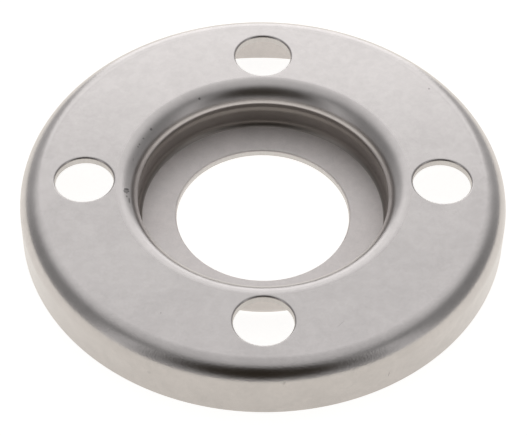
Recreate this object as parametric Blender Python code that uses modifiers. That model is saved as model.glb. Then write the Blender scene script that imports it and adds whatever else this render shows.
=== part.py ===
"""Pressed loose flange: one round sheet with a turned-down rim, four bolt holes and a dished centre."""
import math

import bmesh
import bpy

# Driving sizes of the flange, in metres. Heights start at the level that the rim and the dish stand on.
OUTER_DIAMETER = 0.150
TOTAL_HEIGHT = 0.0178
SHEET_THICKNESS = 0.0025

# Rim: the face turns down into a short skirt whose sheared edge is a little thicker than the sheet.
RIM_ROUND = 0.0070
SKIRT_EDGE_THICKNESS = 0.0030
SKIRT_EDGE_HEIGHT = 0.0075
SKIRT_EDGE_ROUND = 0.0004

# Bolt holes, punched from above, so that their upper edges are drawn in slightly.
BOLT_COUNT = 4
BOLT_CIRCLE_DIAMETER = 0.110
BOLT_HOLE_DIAMETER = 0.018
BOLT_HOLE_ROLL = 0.0004

# Dish: a rounded throat, a fine ledge where the sized wall starts, a fillet and a flat floor.
DISH_DIAMETER = 0.0774
DISH_WALL_THICKNESS = 0.0019
DISH_FILLET = 0.0023
DISH_OUTER_ROUND = 0.0062
THROAT_ROUND = 0.0070
LEDGE_WIDTH = 0.0004
LEDGE_ROUND = 0.0010

# Bore through the floor of the dish, punched from above as the bolt holes are.
BORE_DIAMETER = 0.054
BORE_ROLL = 0.0008
BORE_BURR_ROUND = 0.0003

# Fineness of the facets: the most that a chord may stand off its arc, and the sides of each round.
CHORD_ERROR = 0.0001
RING_STEPS = 80
HOLE_STEPS = 32

# The punch of a bolt hole: how far it reaches past the sheet, and how steep its flare gets.
PUNCH_OVERRUN = 0.002
PUNCH_FLARE = 75.0

# Edges sharper than this angle, in degrees, stay crisp in the shading.
CREASE_ANGLE = 35.0

# Satin stainless sheet.
STAINLESS_COLOUR = (0.60, 0.58, 0.56, 1.0)
STAINLESS_ROUGHNESS = 0.40

# Distance below which the end of a full turn is joined to its start.
SEAM_DISTANCE = 0.00001


def arc(centre, radius, start, end):
    """Points on an arc from start to end in degrees, both ends included, within the chord error."""
    widest_step = 2.0 * math.degrees(math.acos(1.0 - min(CHORD_ERROR / radius, 0.5)))
    steps = max(2, math.ceil(abs(end - start) / widest_step))
    points = []
    for index in range(steps + 1):
        angle = math.radians(start + (end - start) * index / steps)
        points.append((centre[0] + radius * math.cos(angle), centre[1] + radius * math.sin(angle)))
    return points


def ledge():
    """Section of the step in the dish's wall, from the sized wall up and out to the throat."""
    wall = DISH_DIAMETER / 2.0
    top = TOTAL_HEIGHT - THROAT_ROUND
    lean = math.degrees(math.acos(1.0 - LEDGE_WIDTH / (2.0 * LEDGE_ROUND)))
    foot = top - 2.0 * LEDGE_ROUND * math.sin(math.radians(lean))
    points = arc((wall + LEDGE_ROUND, foot), LEDGE_ROUND, 180.0, 180.0 - lean)
    points += arc((wall + LEDGE_WIDTH - LEDGE_ROUND, top), LEDGE_ROUND, -lean, 0.0)[1:]
    return points


def upper_side():
    """Section of the sheet's upper side as (radius, height), from the bore out to the skirt's edge."""
    bore = BORE_DIAMETER / 2.0
    wall = DISH_DIAMETER / 2.0
    throat = wall + LEDGE_WIDTH + THROAT_ROUND
    rim = OUTER_DIAMETER / 2.0
    floor = SHEET_THICKNESS
    points = arc((bore + BORE_ROLL, floor - BORE_ROLL), BORE_ROLL, 180.0, 90.0)
    points += arc((wall - DISH_FILLET, floor + DISH_FILLET), DISH_FILLET, 270.0, 360.0)
    points += ledge()
    points += arc((throat, TOTAL_HEIGHT - THROAT_ROUND), THROAT_ROUND, 180.0, 90.0)[1:]
    points += arc((rim - RIM_ROUND, TOTAL_HEIGHT - RIM_ROUND), RIM_ROUND, 90.0, 0.0)
    points += arc((rim - SKIRT_EDGE_ROUND, SKIRT_EDGE_ROUND), SKIRT_EDGE_ROUND, 0.0, -90.0)
    return points


def lower_side():
    """Section of the sheet's lower side, from the skirt's edge in to the bore."""
    bore = BORE_DIAMETER / 2.0
    wall = DISH_DIAMETER / 2.0 + DISH_WALL_THICKNESS
    throat = DISH_DIAMETER / 2.0 + LEDGE_WIDTH + THROAT_ROUND
    throat_round = throat - wall
    rim = OUTER_DIAMETER / 2.0
    edge = rim - SKIRT_EDGE_THICKNESS
    underside = TOTAL_HEIGHT - SHEET_THICKNESS
    points = arc((edge + SKIRT_EDGE_ROUND, SKIRT_EDGE_ROUND), SKIRT_EDGE_ROUND, 270.0, 180.0)
    points += [(rim - SHEET_THICKNESS, SKIRT_EDGE_HEIGHT)]
    points += arc((rim - RIM_ROUND, TOTAL_HEIGHT - RIM_ROUND), RIM_ROUND - SHEET_THICKNESS, 0.0, 90.0)
    points += arc((throat, underside - throat_round), throat_round, 90.0, 180.0)
    points += arc((wall - DISH_OUTER_ROUND, DISH_OUTER_ROUND), DISH_OUTER_ROUND, 360.0, 270.0)
    points += arc((bore + BORE_BURR_ROUND, BORE_BURR_ROUND), BORE_BURR_ROUND, 270.0, 180.0)
    return points


def punch_section():
    """Closed section of a bolt hole's punch: a straight shank that flares where the edge is drawn in."""
    radius = BOLT_HOLE_DIAMETER / 2.0
    bottom = TOTAL_HEIGHT - SHEET_THICKNESS - PUNCH_OVERRUN
    top = TOTAL_HEIGHT + PUNCH_OVERRUN
    flare = arc((radius + BOLT_HOLE_ROLL, TOTAL_HEIGHT - BOLT_HOLE_ROLL), BOLT_HOLE_ROLL,
                180.0 - PUNCH_FLARE, 180.0)
    lip_radius, lip_height = flare[0]
    brim_height = lip_height + BOLT_HOLE_ROLL
    brim_radius = lip_radius + BOLT_HOLE_ROLL * math.tan(math.radians(PUNCH_FLARE))
    head = [(0.0, top), (brim_radius, top), (brim_radius, brim_height)]
    return head + flare + [(radius, bottom), (0.0, bottom)]


def clear_scene():
    """Remove every object, so that the script starts from nothing."""
    for item in list(bpy.data.objects):
        bpy.data.objects.remove(item, do_unlink=True)


def collection(name):
    """A new collection in the scene."""
    group = bpy.data.collections.new(name)
    bpy.context.scene.collection.children.link(group)
    return group


def turned(name, points, closed, steps, group):
    """A body of revolution: the section as edges at +X, swept once round Z by a Screw modifier."""
    mesh = bpy.data.meshes.new(name)
    shape = bmesh.new()
    ring = [shape.verts.new((radius, 0.0, height)) for radius, height in points]
    for start, end in zip(ring, ring[1:]):
        shape.edges.new((start, end))
    if closed:
        shape.edges.new((ring[-1], ring[0]))
    shape.to_mesh(mesh)
    shape.free()
    body = bpy.data.objects.new(name, mesh)
    group.objects.link(body)
    screw = body.modifiers.new("Turn", "SCREW")
    screw.axis = "Z"
    screw.angle = math.tau
    screw.steps = steps
    screw.render_steps = steps
    screw.use_merge_vertices = True
    screw.merge_threshold = SEAM_DISTANCE
    screw.use_normal_calculate = False
    screw.use_smooth_shade = True
    return body


def punches(group):
    """One punch for each bolt hole, on the bolt circle with the first on +X."""
    tools = []
    for index in range(BOLT_COUNT):
        angle = math.tau * index / BOLT_COUNT
        tool = turned(f"bolt_hole_punch_{index + 1}", punch_section(), False, HOLE_STEPS, group)
        tool.location = (BOLT_CIRCLE_DIAMETER / 2.0 * math.cos(angle),
                         BOLT_CIRCLE_DIAMETER / 2.0 * math.sin(angle), 0.0)
        tool.display_type = "WIRE"
        tool.hide_render = True
        tools.append(tool)
    return tools


def cut(body, tools):
    """Cut each tool out of the body."""
    for tool in tools:
        hole = body.modifiers.new("Cut " + tool.name, "BOOLEAN")
        hole.operation = "DIFFERENCE"
        hole.solver = "EXACT"
        hole.object = tool


def stainless():
    """Satin stainless steel."""
    material = bpy.data.materials.new("stainless")
    material.use_nodes = True
    shader = material.node_tree.nodes["Principled BSDF"]
    shader.inputs["Base Color"].default_value = STAINLESS_COLOUR
    shader.inputs["Metallic"].default_value = 1.0
    shader.inputs["Roughness"].default_value = STAINLESS_ROUGHNESS
    material.diffuse_color = STAINLESS_COLOUR
    return material


def main():
    """Build the flange."""
    clear_scene()
    parts = collection("Lap Joint Flange")
    tools = collection("Punches")
    flange = turned("pressed_flange", upper_side() + lower_side(), True, RING_STEPS, parts)
    flange.data.materials.append(stainless())
    cut(flange, punches(tools))
    flange.data.shade_smooth()
    flange.data.set_sharp_from_angle(angle=math.radians(CREASE_ANGLE))


main()
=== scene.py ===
"""Studio picture of a pressed loose flange: one round of satin stainless sheet with a dished centre."""
import logging
import math
from dataclasses import dataclass, field
from enum import Enum
from typing import Any

import bmesh
import bpy
from mathutils import Matrix, Vector


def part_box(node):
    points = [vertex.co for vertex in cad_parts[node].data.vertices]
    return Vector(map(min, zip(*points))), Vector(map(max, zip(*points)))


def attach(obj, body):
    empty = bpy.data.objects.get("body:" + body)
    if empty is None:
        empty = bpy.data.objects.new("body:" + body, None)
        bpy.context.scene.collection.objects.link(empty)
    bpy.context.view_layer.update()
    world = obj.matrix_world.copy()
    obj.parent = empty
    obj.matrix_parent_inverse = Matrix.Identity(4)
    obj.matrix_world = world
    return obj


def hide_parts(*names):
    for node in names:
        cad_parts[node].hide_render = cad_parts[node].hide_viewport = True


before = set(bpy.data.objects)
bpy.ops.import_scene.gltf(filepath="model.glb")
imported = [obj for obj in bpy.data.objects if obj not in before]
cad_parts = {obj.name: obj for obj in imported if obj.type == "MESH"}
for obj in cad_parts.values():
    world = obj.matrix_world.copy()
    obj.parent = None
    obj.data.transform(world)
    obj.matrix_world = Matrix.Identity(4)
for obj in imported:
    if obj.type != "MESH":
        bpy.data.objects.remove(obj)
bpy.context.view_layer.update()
NODE = "pressed_flange"
BODY = "root"
# The flange's width stays this much under the solid's.
HAIR = 0.000001
LOG = logging.getLogger("flange")

Point = tuple[float, float]
Span = tuple[float, float]
Place = tuple[float, float, float]
Colour = tuple[float, float, float]
Socket = bpy.types.NodeSocket
Value = float | Socket
Inputs = dict[str | int, Any]

# An arc has at least this many chords, and none stands off it by more than this share of its radius.
FEWEST_CHORDS = 3
WIDEST_CHORD = 0.5


class Surface(Enum):
    """How a stretch of the sheet's surface came about, which is also its material's place in the mesh."""

    ROLLED = 0
    SHEARED = 1


# Shape


def arc(centre: Point, radius: float, start: float, end: float, chord_error: float) -> list[Point]:
    """Points on an arc, both ends included.

    Args:
        centre: Middle of the arc, as radius and height.
        radius: The arc's own radius.
        start: First direction in degrees, counted from outwards towards up.
        end: Last direction in degrees.
        chord_error: The most that a chord may stand off the arc.

    Returns:
        The points in order.
    """
    widest = 2.0 * math.degrees(math.acos(1.0 - min(chord_error / radius, WIDEST_CHORD)))
    steps = max(FEWEST_CHORDS, math.ceil(abs(end - start) / widest))
    turns = [math.radians(start + (end - start) * index / steps) for index in range(steps + 1)]
    return [(centre[0] + radius * math.cos(turn), centre[1] + radius * math.sin(turn)) for turn in turns]


def lathe(name: str, points: list[Point], steps: int, ring: bool) -> bpy.types.Object:
    """Turn a section once round the Z axis.

    Args:
        name: Name of the new object.
        points: The section as radius and height.
        steps: Sides of the turned body.
        ring: True for a closed section, false for one that is capped with flat ends.

    Returns:
        The turned object, in the scene.
    """
    shape = bmesh.new()
    row = [shape.verts.new((radius, 0.0, height)) for radius, height in points]
    pairs = list(zip(row, row[1:])) + ([(row[-1], row[0])] if ring else [])
    edges = [shape.edges.new(pair) for pair in pairs]
    bmesh.ops.spin(shape, geom=row + edges, cent=(0.0, 0.0, 0.0), axis=(0.0, 0.0, 1.0),
                   angle=math.tau, steps=steps, use_merge=True)
    if not ring:
        rims = [edge for edge in shape.edges if edge.is_boundary]
        bmesh.ops.holes_fill(shape, edges=rims, sides=0)
    bmesh.ops.recalc_face_normals(shape, faces=shape.faces)
    mesh = bpy.data.meshes.new(name)
    shape.to_mesh(mesh)
    shape.free()
    body = bpy.data.objects.new(name, mesh)
    bpy.context.scene.collection.objects.link(body)
    return body


@dataclass
class SheetSection:
    """Section of the pressed sheet, in metres, with heights from the level that the flange stands on."""

    outer_diameter: float
    height: float
    sheet: float = 0.0025
    rim_round: float = 0.0070
    skirt_edge: float = 0.0030
    skirt_edge_height: float = 0.0075
    skirt_edge_round: float = 0.0004
    dish_diameter: float = 0.0779
    dish_wall: float = 0.0019
    dish_fillet: float = 0.0026
    fillet_arc: float = 60.0
    dish_outer_round: float = 0.0062
    throat_diameter: float = 0.0907
    brow_round: float = 0.0065
    brow_arc: float = 48.5
    throat_round: float = 0.0069
    throat_stop: float = 6.8
    ledge_width: float = 0.0002
    ledge_round: float = 0.0067
    ledge_drop: float = 0.0014
    hollow_round: float = 0.0055
    bore_diameter: float = 0.054
    bore_roll: float = 0.0008
    bore_burr_round: float = 0.0003
    chord_error: float = 0.000006

    @property
    def rim(self) -> float:
        """Radius of the skirt's outside."""
        return self.outer_diameter / 2.0

    @property
    def bore(self) -> float:
        """Radius of the bore."""
        return self.bore_diameter / 2.0

    @property
    def wall(self) -> float:
        """Radius of the dish's wall, inside."""
        return self.dish_diameter / 2.0

    @property
    def floor_edge(self) -> float:
        """Radius at which the flat floor breaks into the fillet."""
        return self.wall - self.dish_fillet * (1.0 - math.cos(math.radians(self.fillet_arc)))

    @property
    def fillet_top(self) -> float:
        """Height at which the fillet meets the dish's wall."""
        return self.sheet + self.dish_fillet * math.sin(math.radians(self.fillet_arc))

    @property
    def throat(self) -> float:
        """Radius at which the face starts to turn down into the dish."""
        return self.throat_diameter / 2.0

    @property
    def throat_centre(self) -> Point:
        """Middle of the throat's lower rounding, which carries on where the brow's ends."""
        turn = math.radians(90.0 + self.brow_arc)
        spare = self.brow_round - self.throat_round
        return self.throat + spare * math.cos(turn), self.height - self.brow_round + spare * math.sin(turn)

    @property
    def wall_top(self) -> float:
        """Height at which the throat's rounding breaks into the dish's wall."""
        return self.throat_centre[1] + self.throat_round * math.sin(math.radians(self.throat_stop))

    def bend(self, centre: Point, radius: float, start: float, end: float) -> list[Point]:
        """An arc of the section, at the section's own fineness."""
        return arc(centre, radius, start, end, self.chord_error)

    def ledge(self) -> list[Point]:
        """The soft step in the dish's wall, from the sized wall up and out."""
        lean = math.degrees(math.acos(1.0 - self.ledge_width / (2.0 * self.ledge_round)))
        top = self.wall_top - self.ledge_drop
        foot = top - 2.0 * self.ledge_round * math.sin(math.radians(lean))
        points = self.bend((self.wall + self.ledge_round, foot), self.ledge_round, 180.0, 180.0 - lean)
        upper_centre = (self.wall + self.ledge_width - self.ledge_round, top)
        return points + self.bend(upper_centre, self.ledge_round, -lean, 0.0)[1:]

    def upper_side(self) -> list[Point]:
        """The sheet's upper side, from the bore out to the skirt's edge."""
        roll, fillet, edge = self.bore_roll, self.dish_fillet, self.skirt_edge_round
        points = self.bend((self.bore + roll, self.sheet - roll), roll, 180.0, 90.0)
        points += self.bend((self.wall - fillet, self.fillet_top), fillet, 360.0 - self.fillet_arc, 360.0)
        points += self.ledge()
        brow_end = 90.0 + self.brow_arc
        points += self.bend(self.throat_centre, self.throat_round, 180.0 - self.throat_stop, brow_end)
        points += self.bend((self.throat, self.height - self.brow_round),
                            self.brow_round, brow_end, 90.0)[1:]
        points += self.bend((self.rim - self.rim_round, self.height - self.rim_round),
                            self.rim_round, 90.0, 0.0)
        points += self.bend((self.rim - edge, edge), edge, 0.0, -90.0)
        return points

    def lower_side(self) -> list[Point]:
        """The sheet's lower side, from the skirt's edge in to the bore."""
        outer_wall = self.wall + self.dish_wall
        hollow = self.hollow_round
        edge, burr = self.skirt_edge_round, self.bore_burr_round
        inner_edge = self.rim - self.skirt_edge
        points = self.bend((inner_edge + edge, edge), edge, 270.0, 180.0)
        points += [(self.rim - self.sheet, self.skirt_edge_height)]
        points += self.bend((self.rim - self.rim_round, self.height - self.rim_round),
                            self.rim_round - self.sheet, 0.0, 90.0)
        points += self.bend((outer_wall + hollow, self.height - self.sheet - hollow), hollow, 90.0, 180.0)
        points += self.bend((outer_wall - self.dish_outer_round, self.dish_outer_round),
                            self.dish_outer_round, 360.0, 270.0)
        points += self.bend((self.bore + burr, burr), burr, 270.0, 180.0)
        return points

    def outline(self) -> list[Point]:
        """The whole closed section."""
        return self.upper_side() + self.lower_side()


@dataclass
class BoltHoles:
    """The ring of punched holes, each with a drawn-in upper edge."""

    count: int = 4
    circle_diameter: float = 0.110
    diameter: float = 0.018
    roll: float = 0.0007
    flare: float = 82.0
    overrun: float = 0.002
    steps: int = 128

    def centres(self) -> list[Point]:
        """Middle of each hole, the first on +X."""
        turns = [math.tau * index / self.count for index in range(self.count)]
        reach = self.circle_diameter / 2.0
        return [(reach * math.cos(turn), reach * math.sin(turn)) for turn in turns]

    def punch_section(self, section: SheetSection) -> list[Point]:
        """Section of one punch, from its flared top down to its foot.

        Args:
            section: The sheet that is punched.

        Returns:
            The points as radius from the hole's middle and height.
        """
        radius = self.diameter / 2.0
        lip = section.bend((radius + self.roll, section.height - self.roll), self.roll,
                           180.0 - self.flare, 180.0)
        rise = self.roll / 2.0
        brim = lip[0][0] + rise * math.tan(math.radians(self.flare))
        head = [(brim, section.height + self.overrun), (brim, lip[0][1] + rise)]
        return head + lip + [(radius, section.height - section.sheet - self.overrun)]

    def cut(self, body: bpy.types.Object, section: SheetSection) -> None:
        """Punch the holes through a body and keep the result as its mesh.

        Args:
            body: The turned sheet.
            section: The sheet's section, for the punches' heights.
        """
        punches = []
        for index, (x, y) in enumerate(self.centres()):
            punch = lathe(f"punch_{index + 1}", self.punch_section(section), self.steps, False)
            punch.location = (x, y, 0.0)
            hole = body.modifiers.new(punch.name, "BOOLEAN")
            hole.operation = "DIFFERENCE"
            hole.solver = "EXACT"
            hole.object = punch
            punches.append(punch)
        graph = bpy.context.evaluated_depsgraph_get()
        mesh = bpy.data.meshes.new_from_object(body.evaluated_get(graph))
        body.modifiers.clear()
        body.data = mesh
        for punch in punches:
            bpy.data.objects.remove(punch, do_unlink=True)


# Finish


class Nodes:
    """A node tree that is written top down: each call adds one node, sets it and links it."""

    def __init__(self, tree: bpy.types.NodeTree) -> None:
        """Start on a tree.

        Args:
            tree: The tree that the nodes go into.
        """
        self.tree = tree

    def add(self, kind: str, inputs: Inputs | None = None, **settings: Any) -> bpy.types.Node:
        """Add a node.

        Args:
            kind: The node's type, without the words that every shader node's type starts with.
            inputs: Values or output sockets, by the name or the number of the input that takes them.
            **settings: The node's own properties.

        Returns:
            The new node.
        """
        node = self.tree.nodes.new("ShaderNode" + kind)
        for name, value in settings.items():
            setattr(node, name, value)
        self.feed(node, inputs or {})
        return node

    def feed(self, node: bpy.types.Node, inputs: Inputs) -> None:
        """Set or link a node's inputs.

        Args:
            node: The node.
            inputs: Values or output sockets, by the name or the number of the input that takes them.
        """
        for name, value in inputs.items():
            if isinstance(value, Socket):
                self.tree.links.new(value, node.inputs[name])
            else:
                node.inputs[name].default_value = value

    def math(self, operation: str, first: Value, second: Value = 0.0) -> Socket:
        """A Math node's result.

        Args:
            operation: What it works out.
            first: Value or socket.
            second: Value or socket.

        Returns:
            The output socket.
        """
        return self.add("Math", {0: first, 1: second}, operation=operation).outputs[0]

    def ramp(self, value: Value, low: float, high: float, start: Value = 0.0, end: Value = 1.0,
             soft: bool = True) -> Socket:
        """Map a value from one range to another, and hold it there past both ends.

        Args:
            value: What is mapped.
            low: Where the change starts.
            high: Where it ends.
            start: Result at and before the start.
            end: Result at and past the end.
            soft: True for an S-shaped change, false for a straight one.

        Returns:
            The output socket.
        """
        inputs = {"Value": value, "From Min": low, "From Max": high, "To Min": start, "To Max": end}
        kind = "SMOOTHSTEP" if soft else "LINEAR"
        return self.add("MapRange", inputs, interpolation_type=kind).outputs["Result"]

    def mix(self, share: Value, first: Any, second: Any) -> Socket:
        """Mix two colours.

        Args:
            share: How much of the second there is, as a value or a socket.
            first: Colour or socket.
            second: Colour or socket.

        Returns:
            The output socket.
        """
        node = self.add("Mix", {0: share, 6: first, 7: second}, data_type="RGBA")
        return node.outputs[2]

    def place(self, group: bpy.types.NodeTree, inputs: Inputs) -> bpy.types.Node:
        """Place a node group.

        Args:
            group: The group.
            inputs: Values or sockets by the name of the group's input.

        Returns:
            The node that stands for the group.
        """
        node = self.tree.nodes.new("ShaderNodeGroup")
        node.node_tree = group
        self.feed(node, inputs)
        return node


def rgba(colour: Colour) -> tuple[float, float, float, float]:
    """A colour with full cover."""
    return (*colour, 1.0)


def new_group(name: str, takes: dict[str, str],
              gives: dict[str, str]) -> tuple[Nodes, dict[str, Socket], bpy.types.Node]:
    """Start a shader node group.

    Args:
        name: The group's name.
        takes: Kind of each input socket by name.
        gives: Kind of each output socket by name.

    Returns:
        The group's nodes, its input sockets by name and its output node.
    """
    tree = bpy.data.node_groups.new(name, "ShaderNodeTree")
    for label, kind in takes.items():
        tree.interface.new_socket(label, in_out="INPUT", socket_type="NodeSocket" + kind)
    for label, kind in gives.items():
        tree.interface.new_socket(label, in_out="OUTPUT", socket_type="NodeSocket" + kind)
    source = tree.nodes.new("NodeGroupInput")
    return Nodes(tree), {label: source.outputs[label] for label in takes}, tree.nodes.new("NodeGroupOutput")


class EffectGroups:
    """The shader node groups that the steel's materials share, each built once."""

    fine_detail: float = 3.0
    fine_roughness: float = 0.6
    fine_share: float = 0.65
    coarse_scale: float = 0.37
    coarse_detail: float = 1.0
    cloud_detail: float = 2.0
    cloud_distortion: float = 0.6
    cloud_reach: Span = (0.3, 0.7)
    pit_scale: float = 2200.0
    pit_detail: float = 3.0
    pit_edge: Span = (0.7, 1.1)
    scratch_edge: Span = (0.2, 1.0)
    scratch_taper: float = 3.0

    def __init__(self) -> None:
        """Build every group."""
        self.grain = self._grain()
        self.cloud = self._cloud()
        self.ring = self._ring()
        self.pit = self._pit()
        self.scratch = self._scratch()

    def _grain(self) -> bpy.types.NodeTree:
        """Fine pickled grain of the sheet, as a height and a speckle around one half."""
        nodes, given, out = new_group("pickled_grain", {"Place": "Vector", "Size": "Float"},
                                      {"Height": "Float", "Speckle": "Float"})
        scale = nodes.math("DIVIDE", 1.0, given["Size"])
        fine = nodes.add("TexNoise", {"Vector": given["Place"], "Scale": scale, "Detail": self.fine_detail,
                                      "Roughness": self.fine_roughness})
        wide = nodes.math("MULTIPLY", scale, self.coarse_scale)
        coarse = nodes.add("TexNoise", {"Vector": given["Place"], "Scale": wide,
                                        "Detail": self.coarse_detail})
        speckle = nodes.math("ADD", nodes.math("MULTIPLY", fine.outputs["Fac"], self.fine_share),
                             nodes.math("MULTIPLY", coarse.outputs["Fac"], 1.0 - self.fine_share))
        nodes.tree.links.new(fine.outputs["Fac"], out.inputs["Height"])
        nodes.tree.links.new(speckle, out.inputs["Speckle"])
        return nodes.tree

    def _cloud(self) -> bpy.types.NodeTree:
        """Broad soft patches of the annealed sheet, as a mask around one half."""
        nodes, given, out = new_group("annealed_cloud", {"Place": "Vector", "Size": "Float"},
                                      {"Mask": "Float"})
        scale = nodes.math("DIVIDE", 1.0, given["Size"])
        noise = nodes.add("TexNoise", {"Vector": given["Place"], "Scale": scale, "Detail": self.cloud_detail,
                                       "Distortion": self.cloud_distortion})
        nodes.tree.links.new(nodes.ramp(noise.outputs["Fac"], *self.cloud_reach), out.inputs["Mask"])
        return nodes.tree

    @staticmethod
    def _ring() -> bpy.types.NodeTree:
        """Mask of a band around the flange's axis, between two heights and two radii."""
        takes = {"Place": "Vector", "Inner": "Float", "Outer": "Float", "Low": "Float", "High": "Float",
                 "Soft": "Float"}
        nodes, given, out = new_group("ring_band", takes, {"Mask": "Float"})
        parts = nodes.add("SeparateXYZ", {0: given["Place"]})
        flat = nodes.add("CombineXYZ", {0: parts.outputs[0], 1: parts.outputs[1]})
        radius = nodes.add("VectorMath", {0: flat.outputs[0]}, operation="LENGTH").outputs["Value"]
        height = parts.outputs[2]
        mask = None
        for value, limit, sign in ((radius, "Inner", 1.0), (radius, "Outer", -1.0),
                                   (height, "Low", 1.0), (height, "High", -1.0)):
            inside = nodes.math("MULTIPLY", nodes.math("SUBTRACT", value, given[limit]), sign)
            share = nodes.math("ADD", nodes.math("DIVIDE", inside, given["Soft"]), 0.5)
            step = nodes.ramp(share, 0.0, 1.0)
            mask = step if mask is None else nodes.math("MULTIPLY", mask, step)
        nodes.tree.links.new(mask, out.inputs["Mask"])
        return nodes.tree

    def _pit(self) -> bpy.types.NodeTree:
        """Mask of one ragged spot."""
        takes = {"Place": "Vector", "Centre": "Vector", "Radius": "Float", "Ragged": "Float"}
        nodes, given, out = new_group("ragged_spot", takes, {"Mask": "Float"})
        reach = nodes.add("VectorMath", {0: given["Place"], 1: given["Centre"]}, operation="DISTANCE")
        noise = nodes.add("TexNoise", {"Vector": given["Place"], "Scale": self.pit_scale,
                                       "Detail": self.pit_detail})
        wander = nodes.math("MULTIPLY", nodes.math("SUBTRACT", noise.outputs["Fac"], 0.5), given["Ragged"])
        share = nodes.math("ADD", nodes.math("DIVIDE", reach.outputs["Value"], given["Radius"]), wander)
        nodes.tree.links.new(nodes.ramp(share, *self.pit_edge, 1.0, 0.0), out.inputs["Mask"])
        return nodes.tree

    def _scratch(self) -> bpy.types.NodeTree:
        """Mask of one straight scratch between two places, fading at both ends."""
        takes = {"Place": "Vector", "Start": "Vector", "End": "Vector", "Width": "Float"}
        nodes, given, out = new_group("straight_scratch", takes, {"Mask": "Float"})
        start = given["Start"]
        line = nodes.add("VectorMath", {0: given["End"], 1: start}, operation="SUBTRACT").outputs[0]
        away = nodes.add("VectorMath", {0: given["Place"], 1: start}, operation="SUBTRACT").outputs[0]
        along = nodes.add("VectorMath", {0: away, 1: line}, operation="DOT_PRODUCT").outputs["Value"]
        whole = nodes.add("VectorMath", {0: line, 1: line}, operation="DOT_PRODUCT").outputs["Value"]
        share = nodes.add("Clamp", {0: nodes.math("DIVIDE", along, whole)}).outputs[0]
        foot = nodes.add("VectorMath", {0: line, "Scale": share}, operation="SCALE").outputs[0]
        gap = nodes.add("VectorMath", {0: away, 1: foot}, operation="DISTANCE").outputs["Value"]
        from_middle = nodes.math("SUBTRACT", nodes.math("MULTIPLY", share, 2.0), 1.0)
        fade = nodes.math("POWER", nodes.math("ABSOLUTE", from_middle), self.scratch_taper)
        taper = nodes.math("SUBTRACT", 1.0, fade)
        body = nodes.ramp(nodes.math("DIVIDE", gap, given["Width"]), *self.scratch_edge, 1.0, 0.0)
        nodes.tree.links.new(nodes.math("MULTIPLY", body, taper), out.inputs["Mask"])
        return nodes.tree


@dataclass(frozen=True)
class Spot:
    """A small dark pit or gall in the surface."""

    centre: Place
    radius: float
    dark: float = 0.6
    ragged: float = 0.9


@dataclass(frozen=True)
class Scratch:
    """A fine straight line in the surface."""

    start: Place
    end: Place
    width: float
    dark: float = 0.25


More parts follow.
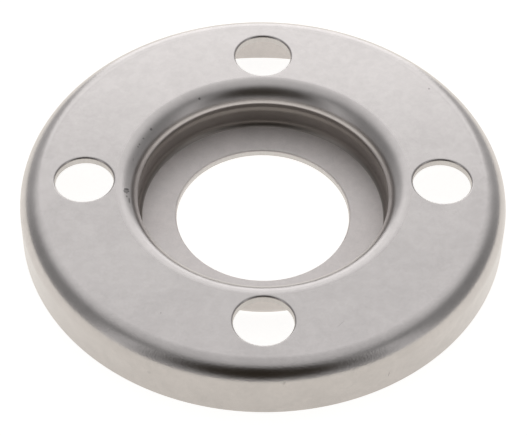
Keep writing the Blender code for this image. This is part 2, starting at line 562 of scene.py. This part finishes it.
@dataclass(frozen=True)
class RolledFinish:
    """The sheet's own surface: satin, faintly clouded, with painted shade that darkens and warms the dish's
    wall and fillet, and painted light that brightens the dish's flat floor.
    """

    section: SheetSection
    colour: Colour = (0.59, 0.56, 0.552)
    # Painted shade: warmer colour of the dish's wall and fillet.
    drawn_colour: Colour = (0.62, 0.562, 0.525)
    # Painted light: brightening factor of the dish's flat floor.
    floor_shade: float = 1.48
    # Painted shade: share of brightness left on the dish's wall and fillet.
    wall_shade: float = 0.52
    face_roughness: float = 0.24
    bend_roughness: float = 0.24
    throat_roughness: float = 0.30
    floor_roughness: float = 0.64
    fillet_roughness: float = 0.37
    wall_roughness: float = 0.39
    skirt_roughness: float = 0.24
    grain_size: float = 0.00030
    grain_height: float = 0.000004
    grain_tone: float = 0.03
    speckle_reach: Span = (0.3, 0.7)
    peel_size: float = 0.0006
    peel_height: float = 0.000032
    peel_detail: float = 2.0
    cloud_size: float = 0.012
    cloud_tone: Span = (0.945, 1.0)
    cloud_roughness: Span = (0.96, 1.05)
    fleck_size: float = 0.003
    fleck_tone: float = 0.02
    mark_roughness: float = 0.3
    wall_soft: float = 0.0004
    floor_soft: float = 0.0006
    bend_soft: float = 0.0012
    skirt_soft: float = 0.0020
    spots: tuple[Spot, ...] = ()
    scratches: tuple[Scratch, ...] = ()

    def material(self, groups: EffectGroups) -> bpy.types.Material:
        """Build the material.

        Args:
            groups: The shared node groups.

        Returns:
            The material.
        """
        skin = bpy.data.materials.new("satin_sheet")
        skin.use_nodes = True
        nodes = Nodes(skin.node_tree)
        shader = skin.node_tree.nodes["Principled BSDF"]
        place = nodes.add("TexCoord").outputs["Object"]
        shape = self.section
        wall_middle = shape.wall + shape.dish_wall / 2.0
        rim_start = shape.rim - shape.rim_round
        band = {"Place": place, "Inner": 0.0, "Outer": 1.0, "Low": -1.0, "High": 1.0,
                "Soft": self.floor_soft}
        zones = (
            (self.floor_roughness, {"Outer": shape.wall, "High": shape.fillet_top}),
            (self.fillet_roughness, {"Inner": shape.floor_edge, "Outer": wall_middle,
                                     "High": shape.fillet_top}),
            (self.wall_roughness, {"Inner": shape.floor_edge, "Outer": wall_middle,
                                   "Low": shape.fillet_top, "High": shape.wall_top}),
            (self.throat_roughness, {"Outer": shape.throat, "Low": shape.wall_top, "Soft": self.wall_soft}),
            (self.bend_roughness, {"Inner": rim_start, "Soft": self.bend_soft}),
            (self.skirt_roughness, {"Inner": rim_start, "High": shape.height - shape.rim_round,
                                    "Soft": self.skirt_soft}),
        )
        rough = nodes.add("Value").outputs[0]
        rough.default_value = self.face_roughness
        for amount, limits in zones:
            mask = nodes.place(groups.ring, band | limits).outputs["Mask"]
            rough = nodes.ramp(mask, 0.0, 1.0, rough, amount, False)
        bend = nodes.place(groups.ring, band | {"Inner": rim_start, "Soft": self.bend_soft}).outputs["Mask"]
        cloud = nodes.place(groups.cloud, {"Place": place, "Size": self.cloud_size}).outputs["Mask"]
        grain = nodes.place(groups.grain, {"Place": place, "Size": self.grain_size})
        fleck = nodes.place(groups.cloud, {"Place": place, "Size": self.fleck_size}).outputs["Mask"]
        speckle = nodes.ramp(grain.outputs["Speckle"], *self.speckle_reach, -self.grain_tone,
                             self.grain_tone, False)
        tone = nodes.math("ADD", nodes.ramp(cloud, 0.0, 1.0, *self.cloud_tone, False), speckle)
        tone = nodes.math("ADD", tone, nodes.ramp(fleck, 0.0, 1.0, -self.fleck_tone,
                                                  self.fleck_tone, False))
        mark = self._marks(nodes, groups, place)
        # Mask of the dish's wall and fillet, where painted shade darkens and warms the colour.
        drawn = nodes.place(groups.ring, band | {"Inner": shape.floor_edge, "High": shape.wall_top,
                                                 "Outer": wall_middle,
                                                 "Soft": self.wall_soft}).outputs["Mask"]
        # Painted shade: darken the dish's wall and fillet.
        tone = nodes.math("MULTIPLY", tone, nodes.ramp(drawn, 0.0, 1.0, 1.0, self.wall_shade))
        # Mask of the dish's flat floor, where painted light brightens the colour.
        flat = nodes.place(groups.ring, band | {"Outer": shape.floor_edge, "High": shape.fillet_top,
                                                "Soft": self.wall_soft}).outputs["Mask"]
        # Painted light: brighten the dish's flat floor.
        tone = nodes.math("MULTIPLY", tone, nodes.ramp(flat, 0.0, 1.0, 1.0, self.floor_shade))
        tone = nodes.math("MULTIPLY", tone, nodes.math("SUBTRACT", 1.0, mark))
        # Painted shade: warmer colour on the dish's wall and fillet.
        metal = nodes.mix(drawn, rgba(self.colour), rgba(self.drawn_colour))
        tint = nodes.add("VectorMath", {0: metal, "Scale": tone}, operation="SCALE").outputs[0]
        patchy = nodes.ramp(cloud, 0.0, 1.0, *self.cloud_roughness, False)
        rough = nodes.math("ADD", nodes.math("MULTIPLY", rough, patchy),
                           nodes.math("MULTIPLY", mark, self.mark_roughness))
        peel = nodes.add("TexNoise", {"Vector": place, "Scale": 1.0 / self.peel_size,
                                      "Detail": self.peel_detail}).outputs["Fac"]
        peel = nodes.math("MULTIPLY", nodes.math("MULTIPLY", peel, bend), self.peel_height)
        height = nodes.math("ADD", nodes.math("MULTIPLY", grain.outputs["Height"], self.grain_height), peel)
        bump = nodes.add("Bump", {"Height": height, "Distance": 1.0, "Strength": 1.0})
        links = skin.node_tree.links
        links.new(tint, shader.inputs["Base Color"])
        links.new(rough, shader.inputs["Roughness"])
        links.new(bump.outputs["Normal"], shader.inputs["Normal"])
        shader.inputs["Metallic"].default_value = 1.0
        return skin

    def _marks(self, nodes: Nodes, groups: EffectGroups, place: Socket) -> Socket:
        """Darkness of all the spots and scratches together.

        Args:
            nodes: The material's nodes.
            groups: The shared node groups.
            place: Where on the flange the shaded point lies.

        Returns:
            The socket with the darkness.
        """
        total = nodes.add("Value").outputs[0]
        total.default_value = 0.0
        for spot in self.spots:
            mask = nodes.place(groups.pit, {"Place": place, "Centre": spot.centre, "Radius": spot.radius,
                                            "Ragged": spot.ragged}).outputs["Mask"]
            total = nodes.math("MAXIMUM", total, nodes.math("MULTIPLY", mask, spot.dark))
        for line in self.scratches:
            mask = nodes.place(groups.scratch, {"Place": place, "Start": line.start, "End": line.end,
                                                "Width": line.width}).outputs["Mask"]
            total = nodes.math("MAXIMUM", total, nodes.math("MULTIPLY", mask, line.dark))
        return total


@dataclass(frozen=True)
class ShearedFinish:
    """The cut edge of the sheet: fine upright drag lines from the punch."""

    colour: Colour = (0.60, 0.58, 0.57)
    roughness: float = 0.30
    roughness_swing: float = 0.1
    speckle_reach: Span = (0.3, 0.7)
    tone: Span = (0.93, 1.03)
    grain_size: float = 0.0002
    drag_size: float = 0.0005
    drag_squeeze: float = 0.08
    drag_height: float = 0.00001

    def material(self, groups: EffectGroups) -> bpy.types.Material:
        """Build the material.

        Args:
            groups: The shared node groups.

        Returns:
            The material.
        """
        skin = bpy.data.materials.new("sheared_edge")
        skin.use_nodes = True
        nodes = Nodes(skin.node_tree)
        shader = skin.node_tree.nodes["Principled BSDF"]
        place = nodes.add("TexCoord").outputs["Object"]
        upright = nodes.add("Mapping", {"Vector": place, "Scale": (1.0, 1.0, self.drag_squeeze)}).outputs[0]
        drag = nodes.place(groups.grain, {"Place": upright, "Size": self.drag_size})
        grain = nodes.place(groups.grain, {"Place": place, "Size": self.grain_size})
        tone = nodes.ramp(drag.outputs["Speckle"], *self.speckle_reach, *self.tone, False)
        tint = nodes.add("VectorMath", {0: self.colour, "Scale": tone}, operation="SCALE").outputs[0]
        rough = nodes.ramp(grain.outputs["Speckle"], *self.speckle_reach,
                           self.roughness * (1.0 - self.roughness_swing),
                           self.roughness * (1.0 + self.roughness_swing), False)
        height = nodes.math("MULTIPLY", drag.outputs["Height"], self.drag_height)
        bump = nodes.add("Bump", {"Height": height, "Distance": 1.0})
        links = skin.node_tree.links
        links.new(tint, shader.inputs["Base Color"])
        links.new(rough, shader.inputs["Roughness"])
        links.new(bump.outputs["Normal"], shader.inputs["Normal"])
        shader.inputs["Metallic"].default_value = 1.0
        return skin


@dataclass
class PressedFlange:
    """The flange itself, one pressed piece."""

    section: SheetSection
    holes: BoltHoles = field(default_factory=BoltHoles)
    steps: int = 360
    crease: float = 32.0
    wall_lean: float = 0.3
    touch: float = 0.00003

    def build(self) -> bpy.types.Object:
        """Turn the sheet and punch its holes.

        Returns:
            The flange, shaded smooth between its sharp edges.
        """
        body = lathe("flange_sheet", self.section.outline(), self.steps, True)
        self.holes.cut(body, self.section)
        body.data.shade_smooth()
        body.data.set_sharp_from_angle(angle=math.radians(self.crease))
        even = body.modifiers.new("Even shading", "WEIGHTED_NORMAL")
        even.keep_sharp = True
        return body

    def surface_of(self, face: bpy.types.MeshPolygon) -> Surface:
        """Tell a cut wall from the rolled surface.

        Args:
            face: A face of the finished mesh.

        Returns:
            How its surface came about.
        """
        middle = face.center
        if abs(face.normal.z) > self.wall_lean:
            return Surface.SHEARED if middle.z < self.touch else Surface.ROLLED
        reach = math.hypot(middle.x, middle.y)
        if reach < self.section.bore + self.touch:
            return Surface.SHEARED
        gaps = [math.hypot(middle.x - x, middle.y - y) for x, y in self.holes.centres()]
        return Surface.SHEARED if min(gaps) < self.holes.diameter / 2.0 + self.touch else Surface.ROLLED

    def dress(self, body: bpy.types.Object, rolled: RolledFinish, sheared: ShearedFinish,
              groups: EffectGroups) -> None:
        """Give each face its finish.

        Args:
            body: The built flange.
            rolled: Finish of the sheet's surface.
            sheared: Finish of its cut edges.
            groups: The shared node groups.
        """
        body.data.materials.clear()
        body.data.materials.append(rolled.material(groups))
        body.data.materials.append(sheared.material(groups))
        for face in body.data.polygons:
            face.material_index = self.surface_of(face).value


# Studio


@dataclass(frozen=True)
class Room:
    """Light from all round the table. Turn is in degrees from the camera's side, rise from the table.

    The room is grey at the sides, lighter low down and above the far side of the table, and unlit
    behind the camera. Two narrow pale uprights stand at the camera's left and right.
    """

    side: float = 0.28
    above: float = 0.42
    above_from: Place = (0.0, 0.342, 0.940)
    above_edge: Span = (0.64, 0.98)
    low: float = 0.08
    low_rise: Span = (18.0, 4.0)
    behind: float = 0.25
    behind_turn: Span = (105.0, 150.0)
    behind_rise: Span = (72.0, 50.0)
    upright: float = 0.43
    upright_turn: float = 60.0
    upright_half: float = 16.0
    upright_rise: Span = (58.0, 38.0)
    unlit: float = 0.985
    unlit_tint: Colour = (0.017, 0.011, 0.004)
    unlit_rise: float = 40.0
    unlit_half: Point = (45.0, 31.0)
    unlit_edge: Span = (0.6, 1.2)

    def build(self) -> None:
        """Set up the world."""
        world = bpy.data.worlds.new("room")
        bpy.context.scene.world = world
        world.use_nodes = True
        nodes = Nodes(world.node_tree)
        direction = nodes.add("TexCoord").outputs["Generated"]
        x, y, z = nodes.add("SeparateXYZ", {0: direction}).outputs
        degree = math.radians(1.0)
        turn = nodes.math("DIVIDE", nodes.math("ARCTAN2", x, nodes.math("MULTIPLY", y, -1.0)), degree)
        turn = nodes.math("ABSOLUTE", turn)
        rise = nodes.math("DIVIDE", nodes.math("ARCSINE", z), degree)
        facing = nodes.add("VectorMath", {0: direction, 1: self.above_from}, operation="DOT_PRODUCT")
        light = nodes.math("ADD", nodes.ramp(facing.outputs["Value"], *self.above_edge, self.side,
                                             self.side + self.above),
                           nodes.ramp(rise, *self.low_rise, 0.0, self.low))
        behind = nodes.math("MULTIPLY", nodes.ramp(turn, *self.behind_turn, 0.0, self.behind),
                            nodes.ramp(rise, *self.behind_rise, 0.0, 1.0))
        light = nodes.math("ADD", light, behind)
        aside = nodes.math("ABSOLUTE", nodes.math("SUBTRACT", turn, self.upright_turn))
        card = nodes.math("MULTIPLY", nodes.ramp(aside, 0.0, self.upright_half, self.upright, 0.0),
                          nodes.ramp(rise, *self.upright_rise, 0.0, 1.0))
        light = nodes.math("ADD", light, card)
        across = nodes.math("DIVIDE", turn, self.unlit_half[0])
        upward = nodes.math("DIVIDE", nodes.math("SUBTRACT", rise, self.unlit_rise), self.unlit_half[1])
        reach = nodes.math("SQRT", nodes.math("ADD", nodes.math("MULTIPLY", across, across),
                                              nodes.math("MULTIPLY", upward, upward)))
        light = nodes.math("MULTIPLY", light, nodes.ramp(reach, *self.unlit_edge, 1.0 - self.unlit, 1.0))
        dusk = nodes.add("VectorMath", {0: self.unlit_tint,
                                        "Scale": nodes.ramp(reach, *self.unlit_edge, 1.0, 0.0)},
                         operation="SCALE").outputs[0]
        total = nodes.add("VectorMath", {0: light, 1: dusk}, operation="ADD").outputs[0]
        seen = nodes.mix(nodes.add("LightPath").outputs["Is Camera Ray"], total, (1.0, 1.0, 1.0, 1.0))
        world.node_tree.links.new(seen, world.node_tree.nodes["Background"].inputs["Color"])


@dataclass(frozen=True)
class Softbox:
    """A rectangular soft light at a short distance, evenly bright all over."""

    name: str
    width: float
    height: float
    place: Place
    aim: Place
    brightness: float

    def build(self) -> bpy.types.Object:
        """Hang the light.

        Returns:
            The light.
        """
        lamp = bpy.data.lights.new(self.name, "AREA")
        lamp.shape = "RECTANGLE"
        lamp.size = self.width
        lamp.size_y = self.height
        lamp.energy = self.brightness * math.pi * self.width * self.height
        box = bpy.data.objects.new(self.name, lamp)
        box.location = self.place
        box.rotation_euler = (Vector(self.place) - Vector(self.aim)).to_track_quat("Z", "Y").to_euler()
        bpy.context.scene.collection.objects.link(box)
        return box


@dataclass(frozen=True)
class Floor:
    """A plain pale table that shows white and keeps a soft shadow."""

    size: float = 6.0
    drop: float = 0.00005
    colour: Colour = (0.46, 0.44, 0.40)
    glow: Colour = (0.735, 0.715, 0.67)
    glow_behind: Colour = (0.86, 0.84, 0.80)
    glow_fade: Span = (-0.09, -0.02)
    camera_glow: float = 0.88
    roughness: float = 0.9

    def build(self) -> bpy.types.Object:
        """Lay the floor.

        Returns:
            The floor.
        """
        bpy.ops.mesh.primitive_plane_add(size=self.size, location=(0.0, 0.0, -self.drop))
        floor = bpy.context.object
        floor.name = "studio_floor"
        paint = bpy.data.materials.new("pale_table")
        paint.use_nodes = True
        nodes = Nodes(paint.node_tree)
        shader = paint.node_tree.nodes["Principled BSDF"]
        shader.inputs["Base Color"].default_value = rgba(self.colour)
        shader.inputs["Roughness"].default_value = self.roughness
        shader.inputs["Specular IOR Level"].default_value = 0.0
        path = nodes.add("LightPath")
        across = nodes.add("SeparateXYZ", {0: nodes.add("TexCoord").outputs["Object"]}).outputs[1]
        glow = nodes.mix(nodes.ramp(across, *self.glow_fade), rgba(self.glow), rgba(self.glow_behind))
        white = (self.camera_glow, self.camera_glow, self.camera_glow)
        glow = nodes.mix(path.outputs["Is Camera Ray"], glow, rgba(white))
        paint.node_tree.links.new(glow, shader.inputs["Emission Color"])
        shader.inputs["Emission Strength"].default_value = 1.0
        floor.data.materials.append(paint)
        return floor


@dataclass(frozen=True)
class PhotoCamera:
    """Camera at the photograph's place: a long lens that looks down on the face from in front."""

    frame_width: float = 36.0
    lens: float = 139.06
    nearest: float = 0.01
    distance: float = 0.61506
    azimuth: float = -0.826
    elevation: float = 48.552
    roll: float = 0.928
    aim: Point = (0.00001, -0.01552)

    def build(self, height: float) -> bpy.types.Object:
        """Place the camera.

        Args:
            height: Level of the face that it aims at.

        Returns:
            The camera.
        """
        lens = bpy.data.cameras.new("photo_camera")
        lens.sensor_width = self.frame_width
        lens.lens = self.lens
        lens.clip_start = self.nearest
        azimuth, elevation, roll = map(math.radians, (self.azimuth, self.elevation, self.roll))
        back = Vector((math.sin(azimuth) * math.cos(elevation), -math.cos(azimuth) * math.cos(elevation),
                       math.sin(elevation)))
        level = Vector((math.cos(azimuth), math.sin(azimuth), 0.0))
        upright = back.cross(level)
        across = math.cos(roll) * level + math.sin(roll) * upright
        up = math.cos(roll) * upright - math.sin(roll) * level
        place = Matrix((across, up, back)).transposed().to_4x4()
        place.translation = Vector((*self.aim, height)) + back * self.distance
        camera = bpy.data.objects.new("photo_camera", lens)
        camera.matrix_world = place
        bpy.context.scene.collection.objects.link(camera)
        bpy.context.scene.camera = camera
        return camera


# Both soft lights hang beyond the far side of the table, one low and one higher up.
SOFTBOXES = (
    Softbox("softbox_low", 0.42, 0.20, (0.0, 0.50, 0.11), (0.0, 0.0, 0.11), 1.02),
    Softbox("softbox_high", 0.52, 0.28, (0.0, 0.50, 0.35), (0.0, 0.0, 0.30), 0.55),
)

# First the gall at the left of the throat, then pits along the throat, on the face and on the skirt.
SPOTS = (
    Spot((-0.04203, -0.00412, 0.01700), 0.00090, 0.46, 1.3),
    Spot((-0.04232, -0.00336, 0.01711), 0.00034, 0.74),
    Spot((-0.04191, -0.00321, 0.01688), 0.00034, 0.74),
    Spot((-0.04150, -0.00305, 0.01660), 0.00034, 0.74),
    Spot((-0.04133, -0.00378, 0.01653), 0.00038, 0.60),
    Spot((-0.04237, -0.00460, 0.01719), 0.00045, 0.52),
    Spot((-0.04184, -0.00487, 0.01694), 0.00030, 0.50),
    Spot((-0.04169, -0.00628, 0.01696), 0.00036, 0.46),
    Spot((-0.03527, 0.02244, 0.01674), 0.00050, 0.50),
    Spot((-0.03751, 0.01836, 0.01672), 0.00034, 0.40),
    Spot((-0.03867, 0.01583, 0.01673), 0.00034, 0.42),
    Spot((-0.03907, 0.01484, 0.01673), 0.00032, 0.38),
    Spot((-0.02036, 0.03623, 0.01658), 0.00042, 0.52),
    Spot((-0.02983, -0.05245, 0.01780), 0.00028, 0.20),
    Spot((0.05321, 0.04009, 0.01780), 0.00035, 0.30),
    Spot((0.00579, -0.07427, 0.01341), 0.00060, 0.12),
    Spot((-0.03307, -0.06732, 0.00896), 0.00060, 0.08),
)

# Streaks above and below the gall, then one on the throat, one on the skirt and one on the face.
SCRATCHES = (
    Scratch((-0.04260, -0.00347, 0.01725), (-0.04122, -0.00294, 0.01640), 0.00042, 0.62),
    Scratch((-0.04101, -0.00633, 0.01652), (-0.04077, -0.00898, 0.01671), 0.00040, 0.50),
    Scratch((-0.04034, 0.01018, 0.01661), (-0.04043, 0.00880, 0.01643), 0.00024, 0.28),
    Scratch((0.03665, -0.06543, 0.00750), (0.03624, -0.06566, 0.00530), 0.00030, 0.25),
    Scratch((0.02342, -0.05480, 0.01780), (0.02123, -0.05745, 0.01780), 0.00024, 0.14),
)


def main() -> None:
    """Build the flange and the studio around it."""
    logging.basicConfig(level=logging.INFO, format="%(name)s: %(message)s")
    bpy.context.scene.view_settings.view_transform = "Standard"
    low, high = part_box(NODE)
    section = SheetSection(outer_diameter=high.x - low.x - HAIR, height=high.z - low.z)
    groups = EffectGroups()
    flange = PressedFlange(section)
    body = flange.build()
    rolled = RolledFinish(section, spots=SPOTS, scratches=SCRATCHES)
    flange.dress(body, rolled, ShearedFinish(), groups)
    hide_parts(NODE)
    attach(body, BODY)
    LOG.info("%s: %d faces", body.name, len(body.data.polygons))
    Room().build()
    for softbox in SOFTBOXES:
        box = softbox.build()
        LOG.info("%s: %.2f m wide", box.name, softbox.width)
    floor = Floor().build()
    LOG.info("%s: %.1f m wide", floor.name, Floor.size)
    camera = PhotoCamera().build(high.z)
    LOG.info("%s: %.0f mm lens", camera.name, camera.data.lens)


if __name__ == "__main__":
    main()
